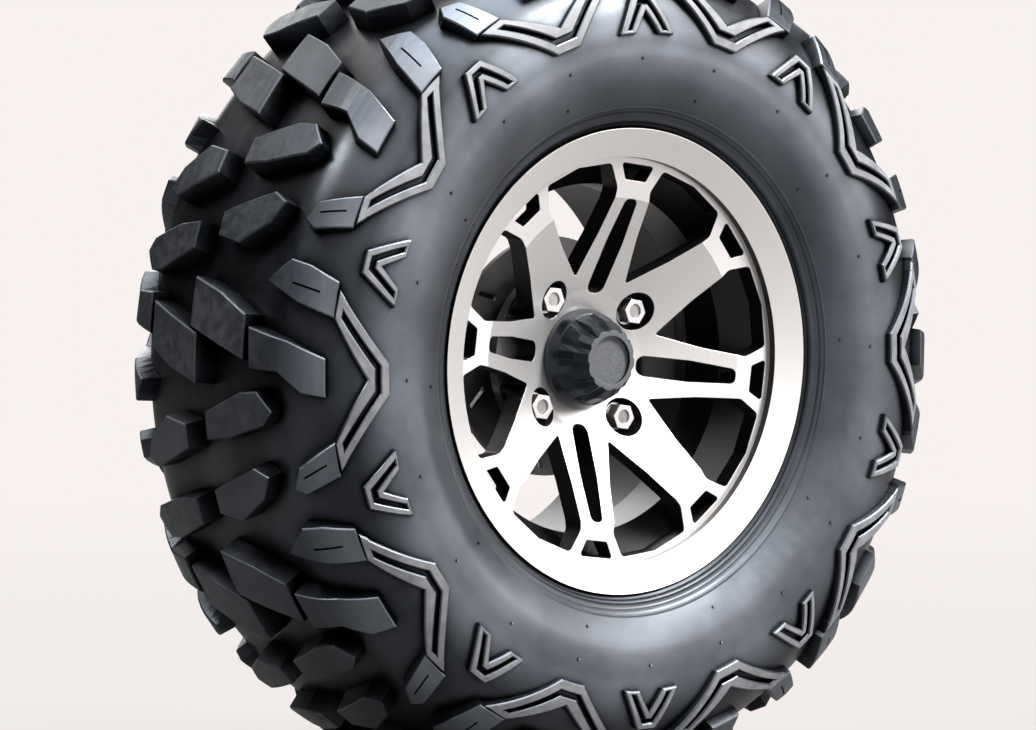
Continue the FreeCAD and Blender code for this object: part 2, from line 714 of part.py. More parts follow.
def make_valve():
    well_inner = "dims.well_radius - dims.barrel_wall"
    start = "dims.well_radius + 2.6"
    stem = radial_bar("ValveStemBar", "dims.valve_radius", start + " - (%s) + dims.valve_reach" % well_inner,
                      start, "dims.valve_depth", "dims.valve_angle")
    foot = radial_bar("ValveFoot", "dims.valve_radius + 2", "2.5", start, "dims.valve_depth", "dims.valve_angle")
    keep("valve_stem", join("ValveStem", [stem, foot]), True)
    cap = radial_bar("ValveCapBar", "dims.valve_radius - 1.5", "8",
                     well_inner + " - dims.valve_reach - dims.seat_gap", "dims.valve_depth", "dims.valve_angle")
    keep("valve_cap", cap, True)


def ring(name, outer, inner, length, y):
    return cut(name, bar(name + "Outer", outer, length, y),
               bar(name + "Inner", inner, "%s + 2" % length, "%s - 1" % y))


def make_bearing():
    bearing = ring("WheelBearing", "dims.bearing_radius - dims.seat_gap",
                   "dims.hub_journal_radius + dims.bearing_clearance", "dims.bearing_width", "dims.bearing_start")
    keep("wheel_bearing", bearing, False)


def make_knuckle():
    # Cast knuckle: bearing housing, four bosses for the arm's bolts and two ears for the caliper
    body = new_body("Knuckle")
    ear_along = "dims.disc_radius - dims.ear_inset"
    outer = "dims.bearing_radius + dims.housing_wall"
    turn_solid(body, "housing", [
        ("dims.bearing_radius - dims.bearing_lip", "dims.housing_start"),
        (outer + " - 4", "dims.housing_start"),
        (outer, "dims.housing_start + 4"),
        (outer, "dims.wheel_offset"),
        ("dims.bearing_radius", "dims.wheel_offset"),
        ("dims.bearing_radius", "dims.bearing_start - dims.seat_gap"),
        ("dims.bearing_radius - dims.bearing_lip", "dims.bearing_start - dims.seat_gap"),
    ])
    boss = "dims.arm_boss_radius"
    along = "dims.arm_bolt_circle_radius"
    lobe = outline(body, "lobe_outline", "XZ_Plane", [
        (along + " + " + boss, boss, boss + " - 0.5"),
        ("dims.bearing_radius + 2", "dims.bearing_radius * 0.6"),
        ("dims.bearing_radius + 2", "dims.bearing_radius * -0.6"),
        (along + " + " + boss, "-" + boss, boss + " - 0.5"),
    ], offset="-dims.wheel_offset + dims.arm_boss_length", turn="45")
    lobe_pad = body.newObject("PartDesign::Pad", "arm_lobe")
    lobe_pad.Profile = lobe
    lobe_pad.Reversed = True
    lobe_pad.setExpression("Length", "dims.arm_boss_length")
    pattern_round_axle(body, "arm_lobes", lobe_pad, "dims.arm_bolt_count")
    ear_inside = "dims.caliper_half_length + dims.caliper_gap"
    ears = outline(body, "ear_outline", "XZ_Plane", [
        ("dims.bearing_radius + 3", "dims.bearing_radius * -0.6"),
        (ear_along + " - 8", "dims.ear_spacing / -2 - 9"),
        (ear_along + " + 9", "dims.ear_spacing / -2 - 9", "7"),
        (ear_along + " + 9", "-(%s)" % ear_inside, "6"),
        ("dims.disc_radius - 22 - dims.caliper_gap", "-(%s)" % ear_inside),
        (outer + " + 1", "0"),
        ("dims.disc_radius - 22 - dims.caliper_gap", ear_inside),
        (ear_along + " + 9", ear_inside, "6"),
        (ear_along + " + 9", "dims.ear_spacing / 2 + 9", "7"),
        (ear_along + " - 8", "dims.ear_spacing / 2 + 9"),
        ("dims.bearing_radius + 3", "dims.bearing_radius * 0.6"),
    ], offset="-dims.ear_start")
    ear = body.newObject("PartDesign::Pad", "caliper_ears")
    ear.Profile = ears
    ear.Reversed = True
    ear.setExpression("Length", "dims.ear_thickness")
    bolt_holes = round_sketch(body, "ear_hole_outline", "XZ_Plane", [
        (ear_along, "dims.ear_spacing / 2", "dims.caliper_bolt_radius + dims.seat_gap"),
        (ear_along, "dims.ear_spacing / -2", "dims.caliper_bolt_radius + dims.seat_gap"),
    ], offset="-dims.ear_start + 5")
    cut_along_axle(body, "ear_holes", bolt_holes, "dims.ear_thickness + 10")
    arm_hole = round_sketch(body, "arm_hole_outline", "XZ_Plane",
                            [(along + " * cos(45)", along + " * sin(45)", "dims.arm_bolt_hole")], offset="5")
    hole = cut_along_axle(body, "arm_hole", arm_hole, "dims.wheel_offset + 10")
    pattern_round_axle(body, "arm_holes", hole, "dims.arm_bolt_count")
    return keep("knuckle", body, False)


def pad_along_axle(body, name, sketch, length):
    # Raises a sketch of the XZ plane towards +Y, from the plane where it is drawn
    feature = body.newObject("PartDesign::Pad", name)
    feature.Profile = sketch
    feature.Reversed = True
    feature.setExpression("Length", length)
    return feature


def make_caliper():
    # Floating caliper: a C-shaped body over the disc, a piston housing, two ears and a hose port
    body = new_body("CaliperBody")
    half = "dims.caliper_half_length"
    outer = "dims.well_radius - dims.barrel_wall - dims.caliper_rim_clearance"
    bridge_low = "dims.disc_radius + dims.bridge_clearance"
    pad_front = "dims.disc_face - dims.pad_clearance - dims.pad_thickness"
    disc_back = "dims.disc_face + dims.disc_thickness"
    pad_back = disc_back + " + dims.pad_clearance + dims.pad_thickness"
    finger_in = pad_front + " - 3 * dims.seat_gap"
    body_in = pad_back + " + 3 * dims.seat_gap"
    finger_out = finger_in + " - dims.finger_thickness"
    section = outline(body, "caliper_section", "XY_Plane", [
        ("dims.disc_radius - 15", finger_out, "4"),
        (outer, finger_out, "8"),
        (outer, "dims.caliper_back", "6"),
        ("dims.disc_radius - 22", "dims.caliper_back", "4"),
        ("dims.disc_radius - 22", body_in),
        (bridge_low, body_in, "2"),
        (bridge_low, finger_in, "2"),
        ("dims.disc_radius - 15", finger_in),
    ])
    bridge = body.newObject("PartDesign::Pad", "caliper_bridge")
    bridge.Profile = section
    bridge.Midplane = True
    bridge.setExpression("Length", "2 * " + half)
    corners = []
    for side in ("", "-"):
        corners.append([
            ("(%s) + 2" % outer, side + "(%s - 15)" % half),
            ("(%s) + 2" % outer, side + "(%s + 2)" % half),
            ("(%s) - 10" % outer, side + "(%s + 2)" % half),
        ])
    for index, triangle in enumerate(corners):
        slope = outline(body, "shoulder_outline_%d" % index, "XZ_Plane", triangle, offset="dims.mount_face")
        cut_along_axle(body, "shoulder_%d" % index, slope, "dims.mount_face + dims.caliper_back + 5")
    window = outline(body, "bridge_window_outline", "YZ_Plane", [
        (finger_in, half + " - 17", "2"),
        (body_in, half + " - 17", "2"),
        (body_in, "17 - " + half, "2"),
        (finger_in, "17 - " + half, "2"),
    ], offset="(%s) + 1" % outer)
    opening = body.newObject("PartDesign::Pocket", "bridge_window")
    opening.Profile = window
    opening.setExpression("Length", "(%s) + 1 - (%s) + 1" % (outer, bridge_low))
    piston_along = "dims.disc_radius - dims.piston_inset"
    pad_along_axle(body, "piston_housing", round_sketch(
        body, "piston_outline", "XZ_Plane", [(piston_along, "0", "dims.piston_housing_radius")],
        offset="-(%s)" % body_in), "dims.piston_housing_end - 2 - (%s)" % body_in)
    pad_along_axle(body, "piston_cap", round_sketch(
        body, "piston_cap_outline", "XZ_Plane", [(piston_along, "0", "dims.piston_housing_radius - 4")],
        offset="-dims.piston_housing_end + 3"), "3")
    ear_along = "dims.disc_radius - dims.ear_inset"
    ears = outline(body, "caliper_ear_outline", "XZ_Plane", [
        (ear_along + " - 9", "dims.ear_spacing / -2 - 9", "7"),
        (ear_along + " + 9", "dims.ear_spacing / -2 - 9", "7"),
        (outer + " - 6", "10 - " + half),
        (outer + " - 6", half + " - 10"),
        (ear_along + " + 9", "dims.ear_spacing / 2 + 9", "7"),
        (ear_along + " - 9", "dims.ear_spacing / 2 + 9", "7"),
        (ear_along + " - 9", "dims.ear_spacing / 2 - 9", "4"),
        ("dims.disc_radius - 22", half + " - 8"),
        ("dims.disc_radius - 22", "8 - " + half),
        (ear_along + " - 9", "dims.ear_spacing / -2 + 9", "4"),
    ], offset="-(%s)" % body_in)
    pad_along_axle(body, "caliper_ear_plate", ears, "dims.ear_start - dims.seat_gap - (%s)" % body_in)
    ear_holes = round_sketch(body, "caliper_ear_hole_outline", "XZ_Plane", [
        (ear_along, "dims.ear_spacing / 2", "dims.caliper_bolt_radius + dims.seat_gap"),
        (ear_along, "dims.ear_spacing / -2", "dims.caliper_bolt_radius + dims.seat_gap"),
    ], offset="0")
    cut_along_axle(body, "caliper_ear_holes", ear_holes, "dims.ear_start + 5")
    port = round_sketch(body, "hose_port_outline", "XZ_Plane",
                        [("(%s) - 9" % outer, "0", "dims.hose_port_radius")],
                        offset="-dims.caliper_back + dims.hose_port_depth")
    port_cut = cut_along_axle(body, "hose_port", port, "dims.hose_port_depth + 5")
    body.Tip = port_cut
    keep("caliper_body", body, False)
    for index, side in enumerate(("1", "-1")):
        z = "dims.ear_spacing / 2 * (%s)" % side
        tag = "_%d" % (index + 1)
        shank = bar("CaliperBoltShank" + tag, "dims.caliper_bolt_radius",
                    "dims.ear_start + dims.ear_thickness + 1 - (%s)" % body_in, body_in, ear_along, z)
        head = hexagon_prism("CaliperBoltHead" + tag, "dims.caliper_bolt_flats",
                             "dims.ear_start + dims.ear_thickness + dims.seat_gap", "5.3", ear_along, z)
        keep("caliper_bolt" + tag, join("CaliperBolt" + tag, [shank, head]), False)
    for tag, low in (("outer", pad_front), ("inner", disc_back + " + dims.pad_clearance")):
        lining = new_body("BrakePad" + tag)
        shape = outline(lining, "pad_outline_" + tag, "XZ_Plane", [
            ("dims.disc_radius - 5", "dims.pad_half_length - 4", "3"),
            ("dims.disc_radius - 5 - dims.pad_depth / 2", "dims.pad_half_length", "3"),
            ("dims.disc_radius - 5 - dims.pad_depth", "dims.pad_half_length - 2", "3"),
            ("dims.disc_radius - 5 - dims.pad_depth", "2 - dims.pad_half_length", "3"),
            ("dims.disc_radius - 5 - dims.pad_depth / 2", "-dims.pad_half_length", "3"),
            ("dims.disc_radius - 5", "4 - dims.pad_half_length", "3"),
        ], offset="-(%s)" % low)
        pad_along_axle(lining, "pad_" + tag, shape, "dims.pad_thickness")
        keep("brake_pad_" + tag, lining, False)


make_rim()
make_tyre()
make_cap()
make_nuts()
make_hub()
make_disc()
make_valve()
make_bearing()
make_knuckle()
make_caliper()
document.recompute()

for thing in document.Objects:
    if "Invalid" in thing.State or "Error" in thing.State:
        raise RuntimeError("failed object: " + thing.Label)
for thing in subparts:
    if thing.Shape.isNull() or not thing.Shape.isValid():
        raise RuntimeError("bad shape: " + thing.Label)

os.makedirs("parts", exist_ok=True)
for thing in subparts:
    shape = thing.Shape
    box = shape.BoundBox
    shape.exportStep("parts/%s.step" % thing.Label)
    print(thing.Label, len(shape.Solids), round(shape.Volume / 1000, 1), "cm3",
          [round(v, 1) for v in (box.XMin, box.YMin, box.ZMin, box.XMax, box.YMax, box.ZMax)])
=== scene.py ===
import math

import bmesh
import bpy
from mathutils import Matrix, Vector
from mathutils.geometry import tessellate_polygon


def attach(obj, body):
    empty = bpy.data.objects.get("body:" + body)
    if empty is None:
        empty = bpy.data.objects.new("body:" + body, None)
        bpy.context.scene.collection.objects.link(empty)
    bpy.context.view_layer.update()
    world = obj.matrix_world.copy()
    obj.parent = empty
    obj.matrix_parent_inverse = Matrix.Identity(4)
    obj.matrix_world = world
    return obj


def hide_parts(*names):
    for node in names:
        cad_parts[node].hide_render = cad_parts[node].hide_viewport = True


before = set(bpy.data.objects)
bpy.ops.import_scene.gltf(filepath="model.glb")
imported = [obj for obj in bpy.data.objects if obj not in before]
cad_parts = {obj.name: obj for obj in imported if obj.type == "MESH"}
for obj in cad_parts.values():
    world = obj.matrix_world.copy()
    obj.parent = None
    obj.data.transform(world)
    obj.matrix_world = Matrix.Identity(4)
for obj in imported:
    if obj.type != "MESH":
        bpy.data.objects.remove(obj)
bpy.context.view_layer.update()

# One millimetre in metres, the wheel's centre, and the wheel's turn at rest in degrees
MM = 0.001
WHEEL_CENTRE = Vector((0, -42, 0)) * MM
WHEEL_TURN = -7.98
INWARD = Vector((0, 1, 0))
UP = Vector((0, 0, 1))


# Camera

IMAGE_SIZE = (1036, 730)
SENSOR_WIDTH = 36
FOCAL_PIXELS = 5457.6
CAMERA_PLACE = Vector((-2546, -3093, 239)) * MM
CAMERA_AIM = Vector((-22.0, 0, -6.3)) * MM
CAMERA_REACH = 50


def make_camera():
    data = bpy.data.cameras.new("camera")
    data.sensor_width = SENSOR_WIDTH
    data.sensor_fit = "HORIZONTAL"
    data.lens = FOCAL_PIXELS / IMAGE_SIZE[0] * SENSOR_WIDTH
    data.clip_end = CAMERA_REACH
    camera = bpy.data.objects.new("camera", data)
    bpy.context.scene.collection.objects.link(camera)
    camera.location = WHEEL_CENTRE + CAMERA_PLACE
    look = CAMERA_AIM - CAMERA_PLACE
    camera.rotation_euler = look.to_track_quat("-Z", "Y").to_euler()
    bpy.context.scene.camera = camera


# Node trees


class Tree:
    # A small helper for building the nodes of a material or of the world

    def __init__(self, tree):
        self.tree = tree
        self.coordinates = self.add("ShaderNodeTexCoord").outputs

    def add(self, kind, **settings):
        node = self.tree.nodes.new(kind)
        for key, value in settings.items():
            setattr(node, key, value)
        return node

    def put(self, value, socket):
        # Links a node's output to the socket, or sets the socket to a plain value
        if isinstance(value, bpy.types.NodeSocket):
            self.tree.links.new(value, socket)
        else:
            socket.default_value = value

    def fill(self, node, **values):
        # Fills a node's inputs, whose names have _ for a space
        for key, value in values.items():
            self.put(value, node.inputs[key.replace("_", " ")])

    def math(self, operation, first, second=None):
        node = self.add("ShaderNodeMath", operation=operation)
        self.put(first, node.inputs[0])
        if second is not None:
            self.put(second, node.inputs[1])
        return node.outputs[0]

    def vector(self, operation, first, second):
        node = self.add("ShaderNodeVectorMath", operation=operation)
        self.put(first, node.inputs[0])
        self.put(second, node.inputs["Scale" if operation == "SCALE" else 1])
        return node.outputs["Value" if operation == "DOT_PRODUCT" else "Vector"]

    def split(self, vector):
        node = self.add("ShaderNodeSeparateXYZ")
        self.put(vector, node.inputs[0])
        return node.outputs

    def span(self, value, source, target, smooth=False):
        # Carries the range source over to the range target, held at both ends
        node = self.add("ShaderNodeMapRange", interpolation_type="SMOOTHSTEP" if smooth else "LINEAR")
        self.fill(node, Value=value, From_Min=source[0], From_Max=source[1])
        self.fill(node, To_Min=target[0], To_Max=target[1])
        return node.outputs["Result"]

    def mix(self, kind, share, first, second):
        node = self.add("ShaderNodeMix", data_type=kind)
        self.fill(node, Factor=share, A=first, B=second)
        return node.outputs["Result"]


class Material(Tree):
    # A node material round its principled shader

    def __init__(self, name):
        self.material = bpy.data.materials.new(name)
        self.material.use_nodes = True
        super().__init__(self.material.node_tree)
        self.shader = self.tree.nodes["Principled BSDF"]

    def set(self, **values):
        self.fill(self.shader, **values)

    def noise(self, scale, detail, roughness=0.5, vector=None):
        node = self.add("ShaderNodeTexNoise")
        self.fill(node, Scale=scale, Detail=detail, Roughness=roughness,
                  Vector=vector or self.coordinates["Object"])
        return node.outputs["Fac"]

    def ramp(self, value, positions, colours):
        node = self.add("ShaderNodeValToRGB")
        for element, position, colour in zip(node.color_ramp.elements, positions, colours):
            element.position = position
            element.color = (*colour, 1)
        self.fill(node, Fac=value)
        return node.outputs["Color"]

    def bump(self, height, strength, distance, bevel=0):
        # Fine relief, over edges that are shaded as if rounded by the bevel
        node = self.add("ShaderNodeBump")
        self.fill(node, Strength=strength, Distance=distance, Height=height)
        if bevel:
            edge = self.add("ShaderNodeBevel", samples=4)
            self.fill(edge, Radius=bevel)
            self.fill(node, Normal=edge.outputs["Normal"])
        self.set(Normal=node.outputs["Normal"])


# Materials

# The part of a noise's range over which tones and roughness change
TONE_RANGE = (0.3, 0.7)
# Depth of a plain material's grain in metres, and how much finer it is than the mottle
GRAIN_DEPTH = 0.0004
GRAIN_FINENESS = 12


def grey(value, blue=0.0):
    # A grey that leans to blue by a share, with its green leaning less
    return (value, value * (1 + blue * 0.4), value * (1 + blue))


def plain_material(name, colours, roughness, scale, bump, metallic, bevel):
    # Two close tones mixed by noise, roughness that follows the noise, and a fine bump
    nodes = Material(name)
    tone = nodes.noise(scale, detail=6)
    nodes.set(Metallic=metallic, Base_Color=nodes.ramp(tone, TONE_RANGE, colours),
              Roughness=nodes.span(tone, TONE_RANGE, roughness))
    grain = nodes.noise(scale * GRAIN_FINENESS, detail=3)
    nodes.bump(grain, strength=bump, distance=GRAIN_DEPTH, bevel=bevel)
    return nodes.material


def wheel_radius(nodes, across="Z"):
    # Distance from the wheel's centre along X and one other axis, and the place measured from that centre
    place = nodes.split(nodes.vector("SUBTRACT", nodes.coordinates["Object"], WHEEL_CENTRE))
    squares = [nodes.math("POWER", place[axis], 2) for axis in ("X", across)]
    return nodes.math("SQRT", nodes.math("ADD", *squares)), place


# The rim is machined bright where its normal's Y is under this facing, and near the bore, but not as deep as
# the floors of the nuts' pockets
MACHINED_FACING = -0.84
BORE_EDGE = 0.0405
POCKET_FLOOR = -0.0443
BRIGHT_TONES = (grey(0.68), grey(0.8))
BRIGHT_RANGE = (0.25, 0.75)
BRIGHT_ROUGHNESS = (0.3, 0.42)
BRIGHT_METALLIC = 0.7
PAINT_TONES = (grey(0.005), grey(0.009))
PAINT_ROUGHNESS = 0.28
LATHE_FINENESS = 1400


def alloy_material():
    # Lathe-turned bright faces where the casting looks outward, black paint in the windows and the barrel
    nodes = Material("machined_alloy")
    radius, place = wheel_radius(nodes)
    normal = nodes.split(nodes.coordinates["Normal"])
    faces_out = nodes.math("LESS_THAN", normal["Y"], MACHINED_FACING)
    above_pockets = nodes.math("LESS_THAN", place["Y"], POCKET_FLOOR)
    near_bore = nodes.math("LESS_THAN", radius, BORE_EDGE)
    turned = nodes.math("MULTIPLY", nodes.math("MAXIMUM", faces_out, near_bore), above_pockets)
    rings = nodes.add("ShaderNodeCombineXYZ")
    nodes.fill(rings, X=radius)
    groove = nodes.noise(scale=LATHE_FINENESS, detail=2, vector=rings.outputs[0])
    bright = nodes.ramp(groove, BRIGHT_RANGE, BRIGHT_TONES)
    paint = nodes.ramp(nodes.noise(scale=60, detail=5), TONE_RANGE, PAINT_TONES)
    tangent = nodes.add("ShaderNodeTangent", direction_type="RADIAL", axis="Y")
    bright_rough = nodes.span(groove, TONE_RANGE, BRIGHT_ROUGHNESS)
    nodes.set(Base_Color=nodes.mix("RGBA", turned, paint, bright),
              Metallic=nodes.math("MULTIPLY", turned, BRIGHT_METALLIC),
              Roughness=nodes.mix("FLOAT", turned, PAINT_ROUGHNESS, bright_rough),
              Tangent=tangent.outputs[0], Anisotropic=0.5, Specular_IOR_Level=0.25)
    nodes.bump(nodes.math("MULTIPLY", groove, turned), strength=0.15, distance=0.00005, bevel=0.0006)
    return nodes.material


# Shine of the rubber by the bead and on the tread, as a share of the sidewall's
BEAD_SHEEN = 0.3
TREAD_SHEEN = 0.3
# Two tones each for clean rubber and for worn lug tops
CLEAN_RUBBER = ((0.006, 0.0075, 0.0105), (0.012, 0.014, 0.0185))
WORN_RUBBER = ((0.014, 0.0155, 0.018), (0.034, 0.0365, 0.0405))
RUBBER_RANGE = (0.35, 0.65)
RUBBER_TINT = (0.76, 0.87, 1, 1)
RUBBER_ROUGHNESS = (0.29, 0.38)
WORN_ROUGHNESS = 0.2
# Radii in metres over which the rubber changes: off the bead, into the shoulder (painted shade, darker
# between the lugs on the carcass), onto the worn lug tops
BEAD_RADII = (0.172, 0.222)
SHOULDER_RADII = (0.235, 0.27)
WORN_RADII = (0.303, 0.316)
SHEEN_FADE = 0.02
# Shares of the broad tone and the fine dust in the mottle, and how the dust thins the wear
TONE_SHARE = 0.6
DUST_SHARE = 0.4
DUST_RANGE = (0.3, 0.6)
DUST_WEAR = (0.3, 1)
# How the broad tone dulls and lifts the sheen
SMUDGE_RANGE = (0.38, 0.62)
SMUDGE_LEVELS = (0.7, 1.1)
# Painted shade from occlusion in hollows and between lugs: how far it reaches, the openness it runs over,
# and what is left of the colour and sheen in a deep hollow
HOLLOW_REACH = 0.026
HOLLOW_RANGE = (0.5, 0.95)
HOLLOW_SHARE = 0.02


def tyre_material(name, sheen_edge, groove_shade):
    # Blue-black rubber with a soft sheen, greyer and rougher on the worn lug tops; painted shade darkens it
    # between the lugs and in hollows
    nodes = Material(name)
    radius, _ = wheel_radius(nodes)
    tone = nodes.noise(scale=14, detail=8)
    dust = nodes.noise(scale=120, detail=6, roughness=0.65)
    blend = nodes.math("ADD", nodes.math("MULTIPLY", tone, TONE_SHARE),
                       nodes.math("MULTIPLY", dust, DUST_SHARE))
    clean = nodes.ramp(blend, RUBBER_RANGE, CLEAN_RUBBER)
    worn = nodes.ramp(blend, RUBBER_RANGE, WORN_RUBBER)
    wear = nodes.math("MULTIPLY", nodes.span(radius, WORN_RADII, (0, 1)),
                      nodes.span(dust, DUST_RANGE, DUST_WEAR))
    # Painted shade: occlusion darkens the colour and the sheen in hollows and between the lugs
    hollows = nodes.add("ShaderNodeAmbientOcclusion", samples=6)
    nodes.fill(hollows, Distance=HOLLOW_REACH)
    open_air = nodes.span(hollows.outputs["AO"], HOLLOW_RANGE, (HOLLOW_SHARE, 1))
    # Painted shade: darker into the shoulder by groove_shade, which the carcass uses for the rubber between
    # the lugs
    shade = nodes.math("MULTIPLY", nodes.span(radius, SHOULDER_RADII, (1, groove_shade)), open_air)
    sheen = nodes.math("MULTIPLY", nodes.span(radius, BEAD_RADII, (BEAD_SHEEN, 1)),
                       nodes.span(radius, (sheen_edge - SHEEN_FADE, sheen_edge), (1, TREAD_SHEEN)))
    smudges = nodes.span(tone, SMUDGE_RANGE, SMUDGE_LEVELS)
    sheen = nodes.math("MULTIPLY", nodes.math("MULTIPLY", sheen, smudges), open_air)
    rough = nodes.math("ADD", nodes.span(dust, TONE_RANGE, RUBBER_ROUGHNESS),
                       nodes.math("MULTIPLY", wear, WORN_ROUGHNESS))
    nodes.set(Base_Color=nodes.vector("SCALE", nodes.mix("RGBA", wear, clean, worn), shade),
              Specular_IOR_Level=sheen, Roughness=rough, Specular_Tint=RUBBER_TINT, IOR=1.85)
    nodes.bump(nodes.noise(scale=900, detail=3), strength=0.12, distance=0.0003)
    return nodes.material


# The cap's front face lies outside this Y from the wheel's centre and has a normal whose Y is under this
CAP_FACE = -0.077
CAP_FACING = -0.9
CAP_SIDE_TONES = ((0.004, 0.006, 0.009), (0.008, 0.011, 0.015))
CAP_FACE_TONES = (grey(0.09, 0.13), grey(0.155, 0.13))
CAP_ROUGHNESS = (0.27, 0.6)
CAP_TINT = (0.8, 0.9, 1, 1)


def cap_material():
    # Glossy black sides, and a greyer matt front face with a fine grain
    nodes = Material("cap_plastic")
    _, place = wheel_radius(nodes)
    normal = nodes.split(nodes.coordinates["Normal"])
    front = nodes.math("MULTIPLY", nodes.math("LESS_THAN", place["Y"], CAP_FACE),
                       nodes.math("LESS_THAN", normal["Y"], CAP_FACING))
    grain = nodes.noise(scale=900, detail=4)
    side = nodes.ramp(nodes.noise(scale=50, detail=5), TONE_RANGE, CAP_SIDE_TONES)
    face = nodes.ramp(grain, TONE_RANGE, CAP_FACE_TONES)
    nodes.set(Base_Color=nodes.mix("RGBA", front, side, face),
              Roughness=nodes.span(front, (0, 1), CAP_ROUGHNESS),
              Specular_Tint=CAP_TINT, Specular_IOR_Level=0.4)
    nodes.bump(grain, strength=0.15, distance=0.0002, bevel=0.0012)
    return nodes.material


def clothe(node, material):
    # Gives a CAD piece its finish
    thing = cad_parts[node]
    thing.data.materials.clear()
    thing.data.materials.append(material)


# Tyre

# Section over the lug tops from the rim to the crown: radius, distance from the middle plane, lug height
TREAD_SECTION = [
    (171.5, 100.4, 0), (185, 109.4, 0), (205, 118.4, 0), (228, 123.2, 4), (250, 121.4, 4.5), (270, 114.6, 6),
    (287, 104, 9), (300, 92, 12), (308, 78, 14), (312.8, 55, 16), (316, 28, 18), (316.9, 0, 18),
]
CROWN_RADIUS = TREAD_SECTION[-1][0]
# Pitches of the tread in a turn, the first chevron's angle, and the inner half's shift, in degrees
PITCHES = 10
FIRST_APEX = 8.5
INNER_SHIFT = -12
SECTION = TREAD_SECTION + [(r, -y, lug) for r, y, lug in reversed(TREAD_SECTION[:-1])]


def section_steps():
    # Distance along the section of each of its points
    steps = [0.0]
    for (r0, y0, _), (r1, y1, _) in zip(SECTION, SECTION[1:]):
        steps.append(steps[-1] + math.hypot(r1 - r0, y1 - y0))
    return steps


STEPS = section_steps()
SECTION_LENGTH = STEPS[-1]


def section_at(distance):
    # Point on the lug tops, its outward normal and the lug height, at a distance from the outer rim edge.
    # A cubic runs through the section's points with a slope at each that is the mean of its neighbours.
    index = 1
    while index < len(STEPS) - 1 and distance > STEPS[index]:
        index += 1
    here = [max(index - 2, 0), index - 1, index, min(index + 1, len(SECTION) - 1)]
    span = STEPS[index] - STEPS[index - 1]
    share = (distance - STEPS[index - 1]) / span

    def slope(low, high, key):
        return (SECTION[high][key] - SECTION[low][key]) / (STEPS[high] - STEPS[low])

    values, slopes = [], []
    square, cube = share * share, share ** 3
    for key in (0, 1):
        start, end = SECTION[here[1]][key], SECTION[here[2]][key]
        first, last = slope(here[0], here[2], key) * span, slope(here[1], here[3], key) * span
        values.append(start * (2 * cube - 3 * square + 1) + first * (cube - 2 * square + share)
                      + end * (3 * square - 2 * cube) + last * (cube - square))
        slopes.append(start * (6 * square - 6 * share) + first * (3 * square - 4 * share + 1)
                      + end * (6 * share - 6 * square) + last * (3 * square - 2 * share))
    normal = Vector((-slopes[1], slopes[0])).normalized()
    height = SECTION[here[1]][2] * (1 - share) + SECTION[here[2]][2] * share
    return Vector(values), normal, height


def wheel_point(angle, radius, y):
    # From the wheel's own polar measures (degrees, millimetres; y positive outward) to the frame
    turn = math.radians(angle + WHEEL_TURN)
    return WHEEL_CENTRE + Vector((radius * math.cos(turn), -y, radius * math.sin(turn))) * MM


def tread_point(angle, distance, lift):
    # lift 0 lies on the carcass, 1 on the lug tops
    point, normal, height = section_at(distance)
    point = point - normal * height * (1 - lift)
    return wheel_point(angle, point.x, point.y)


def close_mesh(built, mesh):
    bmesh.ops.recalc_face_normals(built, faces=built.faces)
    built.to_mesh(mesh)
    built.free()


def revolve(built, loop, turns, start=0.0, smooth=False):
    # Carries a closed loop of (radius, y) points round the axle
    grid = []
    for step in range(turns):
        angle = start + 360 * step / turns
        grid.append([built.verts.new(wheel_point(angle, radius, y)) for radius, y in loop])
    for step, here in enumerate(grid):
        there = grid[(step + 1) % turns]
        for index in range(len(loop)):
            after = (index + 1) % len(loop)
            built.faces.new((here[index], here[after], there[after], there[index])).smooth = smooth


# Steps of the carcass round the axle, and millimetres between its points along the section
CARCASS_TURNS = 360
CARCASS_STEP = 4.0
# Raised (or, with a minus, sunk) rings of the sidewall: from and to along the section, and how high
SIDEWALL_RINGS = [(1.5, 4.5, 1.0), (9, 10, -0.5), (14, 14.8, 0.5)]
RING_SLOPE = 0.25
# Radius and y of the bead up to the sidewall's start, and of the lining from the bead to the crown
BEAD = [(153, 76), (153, 90), (160, 93.2), (167, 96), (169.2, 99.2)]
LINING = [(167, 84), (205, 108), (240, 112), (270, 100), (288, 70), (291, 0)]


def carcass_mesh(mesh):
    count = int(SECTION_LENGTH / CARCASS_STEP)
    marks = [SECTION_LENGTH * index / count for index in range(count + 1)]
    for low, high, _ in SIDEWALL_RINGS:
        for near in (low, high):
            for edge in (near - RING_SLOPE, near + RING_SLOPE):
                marks += [edge, SECTION_LENGTH - edge]
    outside = []
    for distance in sorted(marks):
        point, normal, height = section_at(distance)
        near = min(distance, SECTION_LENGTH - distance)
        for low, high, lift in SIDEWALL_RINGS:
            if low < near < high:
                height -= lift
        outside.append(point - normal * height)
    other_bead = [(radius, -y) for radius, y in reversed(BEAD)]
    other_lining = [(radius, -y) for radius, y in LINING]
    built = bmesh.new()
    revolve(built, BEAD + outside + other_bead + other_lining + LINING[-2::-1], CARCASS_TURNS, smooth=True)
    close_mesh(built, mesh)


# A corner sharper than this share is cut short when an outline is inset
SHARPEST_CORNER = 0.35


def inset(points, amount):
    # Moves each side of a counter-clockwise outline inward by an amount
    count = len(points)
    result = []
    for index in range(count):
        before, here, after = points[index - 1], points[index], points[(index + 1) % count]
        first = (here - before).normalized()
        second = (after - here).normalized()
        first_normal = Vector((-first.y, first.x))
        second_normal = Vector((-second.y, second.x))
        middle = first_normal + second_normal
        middle = middle / max(middle.dot(first_normal), SHARPEST_CORNER)
        result.append(here + middle * amount)
    return result


def split_sides(points, length):
    # Adds points along an outline's sides, about one in each length
    result = []
    for here, after in zip(points, points[1:] + points[:1]):
        parts = max(1, round((after - here).length / length))
        for part in range(parts):
            result.append(here.lerp(after, part / parts))
    return result


